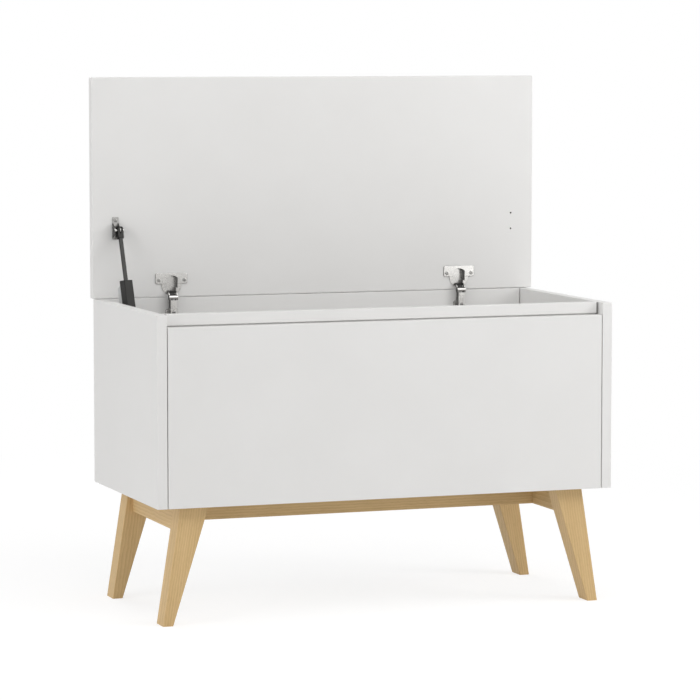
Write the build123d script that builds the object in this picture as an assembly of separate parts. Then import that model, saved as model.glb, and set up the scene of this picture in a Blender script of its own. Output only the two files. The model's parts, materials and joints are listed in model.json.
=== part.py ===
from build123d import *
import os
from math import atan2, degrees

# Storage bench: a white panel chest on four splayed wooden legs, with its hinged lid standing open.
# Millimetres. +Z is up, the front faces -Y. The origin is on the floor, under the middle of the bench.

# Chest
BOX_W = 840.0               # over the side panels
BOX_D = 394.0               # front face to back face
BOX_H = 330.0               # underside to rim
PANEL_T = 18.0
PANEL_EDGE = 0.8            # eased edges of the panels
FRONT_DROP = 21.5           # finger groove: front panel top below the rim
FRONT_SIDE_GAP = 1.5        # shadow gap between the front panel and each side
RAIL_H = 90.0               # front rail behind the front panel
BACK_GROOVE = (1.5, 4.0)    # shadow groove in the inner side edges of the back panel: width, depth

# Lid
LID_W = 852.0
LID_D = 395.0
LID_T = 16.0
LID_EDGE = 2.0
LID_GAP_OPEN = 1.2          # rear edge above the rim when the lid stands
LID_GAP_CLOSED = 2.5        # underside above the rim when the lid is down
LID_SETBACK = 1.0           # rear edge inside the back face when the lid is down

# Leg frame
LEG_H = 205.0
LEG_T = 39.0                # board thickness, front to back
LEG_TOP_W = 51.0
LEG_FOOT_W = 18.4
LEG_TOP_INSET = 47.3        # outer edge at the top, from the chest side
LEG_FOOT_INSET = 15.4       # outer edge at the floor, from the chest side
LEG_Y_INSET = 22.4          # from the front and back faces
LEG_EDGE = 1.2
STRETCHER_T = 18.0
STRETCHER_H = 49.0
STRETCHER_INSET = 53.5      # outer face of a side stretcher, from the chest side

# Joinery
FIT = 0.05                  # radial room round a fastener or a seated pin
RUN = 0.06                  # radial room of a running pin
DOWEL_R = 4.0
DOWEL_L = 30.0
DOWEL_EDGE = 14.0           # dowel centre from the edge of a stretcher
DOWEL_SEAT = 11.0           # depth of a dowel in the face of a panel or a stretcher
LEG_DOWEL_OFFSET = 32.0     # upright dowel from the leg's outer top edge
BOTTOM_DOWEL_Y = 130.0
BOTTOM_CAM_Y = 70.0
BACK_DOWEL_Z = (45.0, 285.0)
BACK_CAM_Z = (100.0, 230.0)
RAIL_DOWEL_DROP = 22.0      # below the rim
RAIL_CAM_DROP = 58.0        # below the rim
LONG_DOWEL_X = (-320.0, -110.0, 110.0, 320.0)
CAM_R = 7.5
CAM_H = 12.5
CAM_INSET = 34.0            # cam centre from the panel's end
CAM_BOLT_R = 3.0
CAM_BOLT_SEAT = 11.0
CAM_SLOT_W = 1.2
CAM_SLOT_H = 2.0

# Screws: shank radius, head radius, head height, length under the head's top
FRAME_SCREW = (2.25, 4.5, 3.0, 60.0)
FRONT_SCREW = (2.0, 4.0, 2.6, 30.0)
PLATE_SCREW = (1.75, 3.6, 1.9, 15.0)
ARM_SCREW = (2.0, 3.2, 1.4, 7.0)
CUP_SCREW = (1.75, 3.7, 1.1, 12.0)
BRACKET_SCREW = (1.5, 3.2, 1.4, 12.0)
DAMPER_SCREW = (1.75, 3.4, 2.0, 22.0)
PAN_ROUND = 0.6             # rounded share of a pan head's height
SIDE_FRAME_SCREW_Y = (-90.0, 90.0)
LONG_FRAME_SCREW_X = (-250.0, 0.0, 250.0)
FRONT_SCREW_X = (-330.0, -110.0, 110.0, 330.0)
FRONT_SCREW_DROP = 45.0     # below the rim

# Concealed hinge. s runs from the lid's rear edge, n runs from its underside into the board.
HINGE_INSET = 141.3         # hinge centre from the chest side
OUTER_PIN_S = 9.7
OUTER_PIN_N = 2.5
OUTER_REACH = 20.0          # arm pin of the outer link from the pole of the swing
INNER_PIN_S = 8.5
INNER_PIN_N = 6.0
INNER_REACH = 16.0
PIN_R = 1.2
INNER_PIN_R = 1.0
CUP_S = 22.0                # cup centre
CUP_R = 17.4
CUP_DEPTH = 11.5
CUP_FLOOR = 1.0
CUP_WALL = 0.8
CUP_RIM_R = 18.6
CUP_RIM_T = 1.1
CUP_HOLE_ROOM = 0.1
CUP_HOLE_DEPTH = 12.0
CUP_NARROW_W = 16.8         # cavity between the pin walls
CUP_WIDE_W = 23.0           # cavity beyond the pin walls
CUP_WIDE_S = 16.5           # end of the pin walls
CUP_PIN_END = 9.5           # half length of the pins in the cup
FLANGE_S = 33.5
FLANGE_W = 60.0
FLANGE_H = 20.0
FLANGE_T = 1.8
FLANGE_CORNER = 3.5
FLANGE_EDGE = 0.6
CUP_SCREW_S = 30.0
CUP_SCREW_SPACING = 48.0
INNER_HALF = 4.5            # half width of the inner link
ARM_IN = 5.0                # half width inside the arm's cheeks
ARM_OUT = 6.3
LINK_IN = 6.6               # half width inside the outer link's cheeks
LINK_OUT = 8.1
LINK_BULGE = 3.5
LINK_W = 4.0
LINK_HUB_R = 4.9
LINK_WEB_R = 4.7            # outside of the rolled web
LINK_WEB_T = 1.2
LINK_WEB_ARC = (134.0, 206.0)
INNER_BULGE = 3.0
INNER_W = 3.2
INNER_HUB_R = 2.6
INNER_FORK_R = 2.3
INNER_SLOT_ROOM = 0.3
ARM_RISE = 14.0             # arm face in front of the back panel
ARM_LIFT = 3.0              # rear edge of the arm in front of the back panel
ARM_WEB_T = 1.3
ARM_BEND = 1.0              # rounded corners of the bent channel
ARM_TOP_DROP = 4.0          # web top below the rim
ARM_NECK_H = 4.0            # where the cheeks narrow towards the pivots
ARM_NECK_SETBACK = 3.2
ARM_END_DROP = 72.0
ARM_TIP_R = 3.2
ARM_INNER_TIP_R = 2.8
ARM_SCREW_DROP = (26.0, 52.0)
PLATE_DROP = 47.0           # middle of the mounting plate below the rim
PLATE_W = 23.0
PLATE_H = 54.0
PLATE_T = 2.0
PLATE_CORNER = 4.0
WING_W = 48.0
WING_H = 18.0
WING_CORNER = 6.0
PLATE_RAIL_L = 44.0
PLATE_RAIL_ROOM = 0.1
PLATE_RAIL_DROP = 40.0
PLATE_SCREW_SPACING = 36.0

# Lid stay on the left: a damper with a crank, and an arm that joins the crank to the lid
STAY_PIN_S = 122.0
STAY_PIN_N = -11.0
STAY_LEAN = 23.5            # arm leans forward from the lid, degrees
STAY_L = 230.0              # lid pin to crank pin
STAY_PIN_R = 2.5
STAY_PIN_ROOM = 0.15
STAY_SLIP = 2.6             # slot in the rod end
STAY_EYE_R = 6.0
STAY_FORK_T = 10.0          # over the prongs of the rod end
STAY_FORK_ROOM = 0.25       # beside the bracket's ear
STAY_FORK_DEPTH = 8.8       # radius of the fork's gap round the pin
STAY_SOCKET_L = 15.0        # lid pin to the end of the rod's socket
STAY_SOCKET_W = 10.0
STAY_ROD_T = 5.5
STAY_ROD_W = 8.0
STAY_ROD_START = 10.0       # lid pin to the rod
STAY_ROD_SHOWN = 99.0       # lid pin to the cover
STAY_ROD_HELD = 60.0        # rod length inside the cover
STAY_COVER_T = 15.3
STAY_COVER_W = 30.0
STAY_COVER_RISE = 9.0       # rear top corner of the cover above the front one, along the arm
STAY_COVER_EDGE = 1.5
STAY_PLATE_T = 2.2
STAY_PLATE_SKIN = 1.0       # cover beside the plate
STAY_PLATE_ENDS = (98.0, 240.0)
STAY_PLATE_ACROSS = (-8.0, 34.0)    # from the rod's line, rearwards
STAY_PLATE_CORNER = 3.0
STAY_TAIL = 14.0            # arm end past the crank pin
CRANK_T = 4.0
CRANK_W = 18.0
CRANK_PIN_R = 3.0
CRANK_PIN_HEAD_R = 5.5
CRANK_PIN_HEAD_T = 1.6
CRANK_GAP = 2.0             # crank face to the arm
CRANK_COLLAR_ROOM = 0.3
SPINDLE_R = 5.0
SPINDLE_HEAD_R = 7.5
SPINDLE_HEAD_T = 1.5
SPINDLE_DEPTH = 6.5
DAMPER_T = 9.0
DAMPER_W = 44.0
DAMPER_H = 84.0
DAMPER_EDGE = 2.0
DAMPER_SCREW_SPACING = 62.0
BRACKET_INSET = 37.2        # middle of the lid bracket from the chest side
BRACKET_W = 11.5
BRACKET_S = (105.5, 145.5)
BRACKET_T = 1.5
BRACKET_EAR_L = 26.0
BRACKET_SCREW_S = (111.0, 140.0)
STAY_PIN_HEAD_R = 4.0
STAY_PIN_HEAD_T = 1.4
PILOT_DEPTH = 12.0          # spare bracket holes on the right of the lid

# Planes of the chest
X_SIDE = BOX_W / 2
X_IN = X_SIDE - PANEL_T
Y_BACK = BOX_D / 2
Y_FRONT = -Y_BACK
Y_BACK_IN = Y_BACK - PANEL_T
Y_FRONT_IN = Y_FRONT + PANEL_T
Z_BASE = LEG_H
Z_RIM = LEG_H + BOX_H
PANEL_MID = PANEL_T / 2
HINGES = {"left": HINGE_INSET - X_SIDE, "right": X_SIDE - HINGE_INSET}


def lid_open(s, n):
    """Place in the (y, z) plane of a point of the standing lid."""
    return Vector(Y_BACK - LID_T + n, Z_RIM + LID_GAP_OPEN + s)


def lid_closed(s, n):
    """Place in the (y, z) plane of the same point when the lid is down."""
    return Vector(Y_BACK - LID_SETBACK - s, Z_RIM + LID_GAP_CLOSED + n)


def swing_pole():
    """Point about which a quarter turn takes the standing lid to the closed one."""
    up, down = lid_open(0, 0), lid_closed(0, 0)
    return Vector((up.X + up.Y + down.X - down.Y) / 2, (up.Y - up.X + down.X + down.Y) / 2)


POLE = swing_pole()


def arm_pivot(s, n, reach):
    """Fixed pivot of a link whose cup pin is at (s, n): on the bisector of the pin's two places."""
    middle = (lid_open(s, n) + lid_closed(s, n)) / 2
    return POLE + (middle - POLE).normalized() * reach


OUTER_PIN = lid_open(OUTER_PIN_S, OUTER_PIN_N)
OUTER_PIVOT = arm_pivot(OUTER_PIN_S, OUTER_PIN_N, OUTER_REACH)
INNER_PIN = lid_open(INNER_PIN_S, INNER_PIN_N)
INNER_PIVOT = arm_pivot(INNER_PIN_S, INNER_PIN_N, INNER_REACH)

# The crank is parallel to the line from the pole to the lid pin, so the arm keeps its lean.
STAY_PIN = lid_open(STAY_PIN_S, STAY_PIN_N)
STAY_DOWN = Vector(0, -1).rotate(Axis.Z, -STAY_LEAN)
CRANK_PIN = STAY_PIN + STAY_DOWN * STAY_L
CRANK_PIVOT = POLE + STAY_DOWN * STAY_L
SLIP_WAY = (POLE - OUTER_PIVOT).normalized() * STAY_SLIP

# Layers of the stay, from the left side panel inwards
BRACKET_X = (BRACKET_INSET - BRACKET_W / 2 - X_SIDE, BRACKET_INSET + BRACKET_W / 2 - X_SIDE)
EAR_X = (BRACKET_X[1] - BRACKET_T, BRACKET_X[1])
STAY_X = (EAR_X[0] + EAR_X[1]) / 2      # the arm is in line with the bracket's inner ear
ROD_X = (STAY_X - STAY_ROD_T / 2, STAY_X + STAY_ROD_T / 2)
FORK_X = (STAY_X - STAY_FORK_T / 2, STAY_X + STAY_FORK_T / 2)
COVER_X = (STAY_X - STAY_COVER_T / 2, STAY_X + STAY_COVER_T / 2)
PLATE_X = (COVER_X[0] + STAY_PLATE_SKIN, COVER_X[0] + STAY_PLATE_SKIN + STAY_PLATE_T)
CRANK_X = (COVER_X[0] - CRANK_GAP - CRANK_T, COVER_X[0] - CRANK_GAP)
DAMPER_X = (-X_IN, -X_IN + DAMPER_T)

FROM_BASE = (Align.CENTER, Align.CENTER, Align.MIN)


# Shared shapes

def slab(x, y, z):
    """Box between three pairs of coordinates."""
    middle = Pos((x[0] + x[1]) / 2, (y[0] + y[1]) / 2, (z[0] + z[1]) / 2)
    return middle * Box(x[1] - x[0], y[1] - y[0], z[1] - z[0])


def panel(x, y, z, edge=PANEL_EDGE):
    """Board with eased edges."""
    board = slab(x, y, z)
    return fillet(board.edges(), edge)


def pin_x(x, place, radius):
    """Round pin along X, at a place in the (y, z) plane."""
    return Pos(x[0], place.X, place.Y) * Rot(0, 90, 0) * Cylinder(radius, x[1] - x[0], align=FROM_BASE)


def plate_x(x, outline):
    """Outline drawn in the (y, z) plane, extruded along X."""
    return extrude(Plane.YZ.offset(x[0]) * outline, x[1] - x[0])


def disc(place, radius):
    """Filled circle at a place in the (y, z) plane."""
    return Pos(place.X, place.Y) * Circle(radius)


def bar(start, end, width):
    """Round-ended bar between two places in the (y, z) plane."""
    return SlotCenterPoint((start + end) / 2, end, width)


def bent_bar(start, end, bulge, width):
    """Round-ended bar along an arc that bulges to the left of its way."""
    way = end - start
    crown = (start + end) / 2 + way.normalized().rotate(Axis.Z, 90) * bulge
    return SlotArc(ThreePointArc(start, crown, end), width)


def toward(point, way):
    """Plane at a point, with its normal along a way."""
    return Plane(origin=point, z_dir=way)


def screw(point, way, size, room=0.0, sunk=True):
    """Screw driven along a way, its head's top at the point, or its head's seat where it isn't sunk."""
    shank_r, head_r, head_h, length = size
    shank = Cylinder(shank_r + room, length + room, align=FROM_BASE)
    if sunk:
        head = Cone(head_r + room, shank_r + room, head_h, align=FROM_BASE)
    else:
        head = Cylinder(head_r, head_h, align=FROM_BASE)
        head = Pos(0, 0, -head_h) * fillet(head.edges().group_by(Axis.Z)[0], head_h * PAN_ROUND)
    return toward(point, way) * (shank + head)


def dowel(point, way, back, ahead, room=0.0):
    """Dowel along a way through a point, reaching back and ahead of it."""
    peg = Cylinder(DOWEL_R + room, back + ahead + 2 * room, align=FROM_BASE)
    return toward(point, way) * Pos(0, 0, -back - room) * peg


def cut(board, tools):
    """Board with each tool taken out of it."""
    for tool in tools:
        board -= tool
    return board


# Joinery of the chest

SIDES = {"left": -1, "right": 1}


def side_dowel_places():
    """Dowels across each side panel's inner face: bottom, back and front rail."""
    places = []
    for sign in SIDES.values():
        for y in (-BOTTOM_DOWEL_Y, BOTTOM_DOWEL_Y):
            places.append((sign, y, Z_BASE + PANEL_MID))
        for z in BACK_DOWEL_Z:
            places.append((sign, Y_BACK - PANEL_MID, Z_BASE + z))
        places.append((sign, Y_FRONT_IN + PANEL_MID, Z_RIM - RAIL_DOWEL_DROP))
    return places


def panel_dowels(room=0.0):
    """All dowels of the chest, or with room the holes for them."""
    long_end = DOWEL_L - DOWEL_SEAT
    pegs = []
    for sign, y, z in side_dowel_places():
        pegs.append(dowel((sign * X_IN, y, z), (sign, 0, 0), long_end, DOWEL_SEAT, room))
    for x in LONG_DOWEL_X:
        z = Z_BASE + PANEL_MID
        pegs.append(dowel((x, Y_FRONT_IN, z), (0, -1, 0), long_end, DOWEL_SEAT, room))
        pegs.append(dowel((x, Y_BACK_IN, z), (0, 1, 0), long_end, DOWEL_SEAT, room))
    return pegs


def cam_places():
    """Cam fittings: side sign, bolt line in (y, z), cam face point in (y, z) and the way into the board."""
    places = []
    for sign in SIDES.values():
        for y in (-BOTTOM_CAM_Y, BOTTOM_CAM_Y):
            places.append((sign, (y, Z_BASE + PANEL_MID), (y, Z_BASE), (0, 0, 1)))
        for z in BACK_CAM_Z:
            height = Z_BASE + z
            places.append((sign, (Y_BACK - PANEL_MID, height), (Y_BACK_IN, height), (0, 1, 0)))
        height = Z_RIM - RAIL_CAM_DROP
        rail_back = Y_FRONT_IN + PANEL_T
        places.append((sign, (Y_FRONT_IN + PANEL_MID, height), (rail_back, height), (0, -1, 0)))
    return places


def cam_locks(room=0.0):
    """Slotted cam discs let into the boards, or with room the pockets for them."""
    discs = []
    for sign, _, face, way in cam_places():
        lock = Cylinder(CAM_R + room, CAM_H + room, align=FROM_BASE)
        if not room:
            lock -= Box(2 * CAM_R, CAM_SLOT_W, 2 * CAM_SLOT_H)
        discs.append(toward((sign * (X_IN - CAM_INSET), *face), way) * lock)
    return discs


def cam_bolts(room=0.0):
    """Bolts from the side panels to the cams, or with room the holes for them."""
    bolts = []
    length = CAM_BOLT_SEAT + CAM_INSET - CAM_R
    for sign, line, _, _ in cam_places():
        bolt = Cylinder(CAM_BOLT_R + room, length + room, align=FROM_BASE)
        bolts.append(toward((sign * (X_IN + CAM_BOLT_SEAT + room), *line), (-sign, 0, 0)) * bolt)
    return bolts


def front_screws(room=0.0):
    """Screws from inside, through the front rail into the front panel."""
    z = Z_RIM - FRONT_SCREW_DROP
    rail_back = Y_FRONT_IN + PANEL_T
    return [screw((x, rail_back, z), (0, -1, 0), FRONT_SCREW, room) for x in FRONT_SCREW_X]


# Leg frame

STRETCHER_MID = X_SIDE - STRETCHER_INSET - STRETCHER_T / 2
LEG_Y = {"front": (Y_FRONT + LEG_Y_INSET, Y_FRONT + LEG_Y_INSET + LEG_T),
         "rear": (Y_BACK - LEG_Y_INSET - LEG_T, Y_BACK - LEG_Y_INSET)}
STRETCHER_Z = (Z_BASE - STRETCHER_H, Z_BASE)
STRETCHER_DOWEL_Z = (Z_BASE - STRETCHER_H + DOWEL_EDGE, Z_BASE - DOWEL_EDGE)


def leg(sign, y):
    """Board that splays outwards and tapers to the floor, seen from the front."""
    top_out = X_SIDE - LEG_TOP_INSET
    foot_out = X_SIDE - LEG_FOOT_INSET
    corners = [(foot_out - LEG_FOOT_W, 0), (foot_out, 0), (top_out, Z_BASE), (top_out - LEG_TOP_W, Z_BASE)]
    outline = Polygon(*corners, align=None)
    board = extrude(Plane.XZ.offset(-y[1]) * outline, y[1] - y[0])
    board = fillet(board.edges().sort_by(SortBy.LENGTH)[-4:], LEG_EDGE)
    return board if sign > 0 else mirror(board, Plane.YZ)


def leg_dowels(room=0.0):
    """One upright dowel from each leg into the bottom panel."""
    x = X_SIDE - LEG_TOP_INSET - LEG_DOWEL_OFFSET
    pegs = []
    for sign in SIDES.values():
        for y in LEG_Y.values():
            middle = (sign * x, (y[0] + y[1]) / 2, Z_BASE)
            pegs.append(dowel(middle, (0, 0, 1), DOWEL_L - DOWEL_SEAT, DOWEL_SEAT, room))
    return pegs


def stretcher_dowels(room=0.0):
    """Dowels from the side stretchers into the legs, and from the long one into the side ones."""
    pegs = []
    half = DOWEL_L / 2
    for sign in SIDES.values():
        for z in STRETCHER_DOWEL_Z:
            x = sign * STRETCHER_MID
            pegs.append(dowel((x, LEG_Y["front"][1], z), (0, -1, 0), half, half, room))
            pegs.append(dowel((x, LEG_Y["rear"][0], z), (0, 1, 0), half, half, room))
            end = (sign * (STRETCHER_MID - STRETCHER_T / 2), 0, z)
            pegs.append(dowel(end, (sign, 0, 0), DOWEL_L - DOWEL_SEAT, DOWEL_SEAT, room))
    return pegs


def frame_screws(room=0.0):
    """Screws up through the stretchers into the bottom panel."""
    places = [(sign * STRETCHER_MID, y) for sign in SIDES.values() for y in SIDE_FRAME_SCREW_Y]
    places += [(x, 0) for x in LONG_FRAME_SCREW_X]
    return [screw((x, y, STRETCHER_Z[0]), (0, 0, 1), FRAME_SCREW, room) for x, y in places]


# Hinge, drawn about x = 0 and then set at each hinge's place

def both_sides(shape):
    """A shape of the hinge's right half and its mirror image."""
    return shape + mirror(shape, Plane.YZ)


def on_lid(x, s, n=0.0):
    """Point of the standing lid in space."""
    place = lid_open(s, n)
    return (x, place.X, place.Y)


def lid_plate(outline, s, n):
    """Outline drawn on the lid's underside about (0, s), extruded between two depths."""
    base = Plane(origin=on_lid(0, s, n[0]), x_dir=(1, 0, 0), z_dir=(0, 1, 0))
    return extrude(base * outline, n[1] - n[0])


def cup_cavity():
    """Room for the links: narrow between the pin walls, wider beyond them, open through the rim."""
    depth = (-FLANGE_T, CUP_DEPTH - CUP_FLOOR)
    narrow = lid_plate(Rectangle(CUP_NARROW_W, 2 * CUP_R), CUP_S, depth)
    wide = lid_plate(Rectangle(CUP_WIDE_W, 2 * CUP_R), CUP_WIDE_S + CUP_R, depth)
    return (narrow + wide) & lid_plate(Circle(CUP_R - CUP_WALL), CUP_S, depth)


def outer_cup_pins(room=0.0):
    """Stub rivets of the outer link in the cup's two walls."""
    return both_sides(pin_x((LINK_IN, CUP_PIN_END + room), OUTER_PIN, PIN_R + room))


def inner_cup_pin(room=0.0):
    """Pin of the inner link across the cup."""
    half = CUP_PIN_END + room
    return pin_x((-half, half), INNER_PIN, INNER_PIN_R + room)


def hinge_cup():
    """Pressed cup with a round rim and a screw flange."""
    cup = lid_plate(Circle(CUP_R), CUP_S, (0, CUP_DEPTH))
    cup += lid_plate(Circle(CUP_RIM_R), CUP_S, (-CUP_RIM_T, 0))
    flange = lid_plate(RectangleRounded(FLANGE_W, FLANGE_H, FLANGE_CORNER), FLANGE_S, (-FLANGE_T, 0))
    cup += fillet(flange.edges().group_by(Axis.Y)[0], FLANGE_EDGE)
    cup -= cup_cavity()
    cup -= outer_cup_pins(FIT)
    cup -= inner_cup_pin(FIT)
    return cut(cup, cup_screws(0, FIT))


def cup_screws(x, room=0.0):
    """Two screws through the flange into the lid."""
    screws = []
    for sign in (-1, 1):
        place = on_lid(x + sign * CUP_SCREW_SPACING / 2, CUP_SCREW_S, -FLANGE_T)
        screws.append(screw(place, (0, 1, 0), CUP_SCREW, room))
    return screws


def outer_link():
    """Two bowed cheeks joined by a rolled web round the arm's tip."""
    cheek = bent_bar(OUTER_PIVOT, OUTER_PIN, LINK_BULGE, LINK_W)
    cheek += disc(OUTER_PIVOT, LINK_HUB_R)
    cheek -= disc(OUTER_PIVOT, PIN_R + RUN) + disc(OUTER_PIN, PIN_R + RUN)
    start, end = LINK_WEB_ARC
    web_line = CenterArc(OUTER_PIVOT, LINK_WEB_R - LINK_WEB_T / 2, start, end - start)
    web = plate_x((-LINK_OUT, LINK_OUT), SlotArc(web_line, LINK_WEB_T))
    return both_sides(plate_x((LINK_IN, LINK_OUT), cheek)) + web


def inner_link():
    """Solid bowed link with an eye on the arm and a fork on the cup pin."""
    way = (INNER_PIN - INNER_PIVOT).normalized()
    outline = bent_bar(INNER_PIVOT, INNER_PIN, INNER_BULGE, INNER_W)
    outline += disc(INNER_PIVOT, INNER_HUB_R) + disc(INNER_PIN, INNER_FORK_R)
    outline -= disc(INNER_PIVOT, PIN_R + RUN)
    slot_w = 2 * (INNER_PIN_R + INNER_SLOT_ROOM)
    outline -= bar(INNER_PIN, INNER_PIN + way * 2 * INNER_FORK_R, slot_w)
    return plate_x((-INNER_HALF, INNER_HALF), outline)


ARM_Y = (Y_BACK_IN - ARM_RISE, Y_BACK_IN - ARM_LIFT)


def yz_rectangle(y, z):
    """Rectangle between two pairs of coordinates in the (y, z) plane."""
    return Pos((y[0] + y[1]) / 2, (z[0] + z[1]) / 2) * Rectangle(y[1] - y[0], z[1] - z[0])


def arm_pins(room=0.0):
    """Pivot pins of the outer and the inner link in the arm's cheeks."""
    outer = pin_x((-LINK_OUT, LINK_OUT), OUTER_PIVOT, PIN_R + room)
    inner = pin_x((-ARM_OUT, ARM_OUT), INNER_PIVOT, PIN_R + room)
    return [outer, inner]


def hinge_arm():
    """Channel that straddles the mounting plate, with its cheeks drawn up to the two pivots."""
    web_z = (Z_RIM - ARM_END_DROP, Z_RIM - ARM_TOP_DROP)
    neck = yz_rectangle((ARM_Y[0] + ARM_NECK_SETBACK, ARM_Y[1]), (web_z[1] - ARM_NECK_H, web_z[1]))
    tips = disc(OUTER_PIVOT, ARM_TIP_R).edges() + disc(INNER_PIVOT, ARM_INNER_TIP_R).edges()
    cheek = make_hull(tips + neck.edges()) + yz_rectangle(ARM_Y, web_z)
    arm = both_sides(plate_x((ARM_IN, ARM_OUT), cheek))
    arm += slab((-ARM_OUT, ARM_OUT), (ARM_Y[0], ARM_Y[0] + ARM_WEB_T), web_z)
    arm = fillet(arm.edges().filter_by(Axis.Z).group_by(Axis.Y)[0], ARM_BEND)
    arm = cut(arm, arm_pins(FIT))
    return cut(arm, arm_screws(0, FIT))


def arm_screws(x, room=0.0):
    """Two screws that clamp the arm to the mounting plate."""
    screws = []
    for drop in ARM_SCREW_DROP:
        place = (x, ARM_Y[0], Z_RIM - drop)
        screws.append(screw(place, (0, 1, 0), ARM_SCREW, room, sunk=False))
    return screws


def hinge_plate():
    """Winged mounting plate with a rail that fills the arm's channel."""
    base = Plane.XZ.offset(-Y_BACK_IN) * Pos(0, Z_RIM - PLATE_DROP)
    outline = RectangleRounded(PLATE_W, PLATE_H, PLATE_CORNER) + RectangleRounded(WING_W, WING_H, WING_CORNER)
    plate = extrude(base * outline, PLATE_T)
    half = ARM_IN - PLATE_RAIL_ROOM
    middle = Z_RIM - PLATE_RAIL_DROP
    rail_z = (middle - PLATE_RAIL_L / 2, middle + PLATE_RAIL_L / 2)
    plate += slab((-half, half), (ARM_Y[0] + ARM_WEB_T, Y_BACK_IN), rail_z)
    plate = cut(plate, plate_screws(0, FIT))
    return cut(plate, arm_screws(0, FIT))


def plate_screws(x, room=0.0):
    """Two screws through the plate's wings into the back panel."""
    screws = []
    for sign in (-1, 1):
        place = (x + sign * PLATE_SCREW_SPACING / 2, Y_BACK_IN - PLATE_T, Z_RIM - PLATE_DROP)
        screws.append(screw(place, (0, 1, 0), PLATE_SCREW, room))
    return screws


# Lid stay

def stay_place(along, across):
    """Place in the (y, z) plane: along the arm from the lid pin, and across its lean rearwards."""
    return STAY_PIN + STAY_DOWN * along + STAY_DOWN.rotate(Axis.Z, 90) * across


def stay_box(along, across):
    """Rectangle between two distances along the arm and two across it."""
    middle = stay_place((along[0] + along[1]) / 2, (across[0] + across[1]) / 2)
    lean = degrees(atan2(STAY_DOWN.Y, STAY_DOWN.X))
    return Pos(middle.X, middle.Y) * Rot(0, 0, lean) * Rectangle(along[1] - along[0], across[1] - across[0])


def stay_bar(x, start, end, width):
    """Square bar along the stay's arm."""
    return plate_x(x, stay_box((start, end), (-width / 2, width / 2)))


def stay_rod():
    """Flat rod from the rod end into the cover."""
    return stay_bar(ROD_X, STAY_ROD_START, STAY_ROD_SHOWN + STAY_ROD_HELD, STAY_ROD_W)


def stay_rod_end():
    """Fork on the bracket's inner ear, its eye slotted for the small lift of the lid in mid swing."""
    slip_end = STAY_PIN + SLIP_WAY
    outline = bar(STAY_PIN, slip_end, 2 * STAY_EYE_R)
    outline += stay_box((0, STAY_SOCKET_L), (-STAY_SOCKET_W / 2, STAY_SOCKET_W / 2))
    outline -= bar(STAY_PIN, slip_end, 2 * (STAY_PIN_R + STAY_PIN_ROOM))
    gap_x = (EAR_X[0] - STAY_FORK_ROOM, EAR_X[1] + STAY_FORK_ROOM)
    gap = plate_x(gap_x, bar(STAY_PIN, slip_end, 2 * STAY_FORK_DEPTH))
    return plate_x(FORK_X, outline) - gap - stay_rod()


def stay_cover():
    """Moulded cover over the lower part of the arm, with pockets for the rod and the plate."""
    front, rear = -STAY_COVER_W / 2, STAY_COVER_W / 2
    top, end = STAY_ROD_SHOWN, STAY_L + STAY_TAIL
    corners = [(top, front), (end, front), (end, rear), (top - STAY_COVER_RISE, rear)]
    cover = plate_x(COVER_X, Polygon(*[stay_place(*corner) for corner in corners], align=None))
    cover = fillet(cover.edges(), STAY_COVER_EDGE)
    cover -= stay_bar((ROD_X[0] - FIT, ROD_X[1] + FIT), 0,
                      STAY_ROD_SHOWN + STAY_ROD_HELD, STAY_ROD_W + 2 * FIT)
    cover -= stay_plate_blank(FIT)
    return cover - pin_x(COVER_X, CRANK_PIN, CRANK_PIN_R + RUN)


def stay_plate_blank(room=0.0):
    """Plate before it is drilled, or with room the pocket for it."""
    ends = (STAY_PLATE_ENDS[0] - room, STAY_PLATE_ENDS[1] + room)
    across = (STAY_PLATE_ACROSS[0] - room, STAY_PLATE_ACROSS[1] + room)
    plate = plate_x((PLATE_X[0] - room, PLATE_X[1] + room), stay_box(ends, across))
    return fillet(plate.edges().filter_by(Axis.X), STAY_PLATE_CORNER)


def stay_plate():
    """Steel plate let into the cover, which carries the crank pin and shows behind the cover."""
    return stay_plate_blank() - pin_x(PLATE_X, CRANK_PIN, CRANK_PIN_R + RUN)


def stay_crank():
    """Flat crank from the damper's spindle to the arm."""
    outline = bar(CRANK_PIVOT, CRANK_PIN, CRANK_W)
    outline -= disc(CRANK_PIVOT, SPINDLE_R + FIT) + disc(CRANK_PIN, CRANK_PIN_R + FIT)
    return plate_x(CRANK_X, outline)


def stay_crank_pin():
    """Riveted pin of the crank, with a collar that spaces the arm off and a head outside the cover."""
    head_x = COVER_X[1] + CRANK_COLLAR_ROOM
    pin = pin_x((CRANK_X[0], head_x), CRANK_PIN, CRANK_PIN_R)
    pin += pin_x((CRANK_X[1], COVER_X[0] - CRANK_COLLAR_ROOM), CRANK_PIN, CRANK_PIN_HEAD_R)
    return pin + pin_x((head_x, head_x + CRANK_PIN_HEAD_T), CRANK_PIN, CRANK_PIN_HEAD_R)


def stay_spindle():
    """Damper spindle that turns with the crank."""
    spindle = pin_x((DAMPER_X[1] - SPINDLE_DEPTH, CRANK_X[1]), CRANK_PIVOT, SPINDLE_R)
    spindle += pin_x((DAMPER_X[1] + CRANK_COLLAR_ROOM, CRANK_X[0]), CRANK_PIVOT, SPINDLE_HEAD_R)
    return spindle + pin_x((CRANK_X[1], CRANK_X[1] + SPINDLE_HEAD_T), CRANK_PIVOT, SPINDLE_HEAD_R)


def damper_screws(room=0.0):
    """Two screws through the damper case into the side panel."""
    half = DAMPER_SCREW_SPACING / 2
    places = [(DAMPER_X[1], CRANK_PIVOT.X, CRANK_PIVOT.Y + shift) for shift in (-half, half)]
    return [screw(place, (-1, 0, 0), DAMPER_SCREW, room) for place in places]


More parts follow.
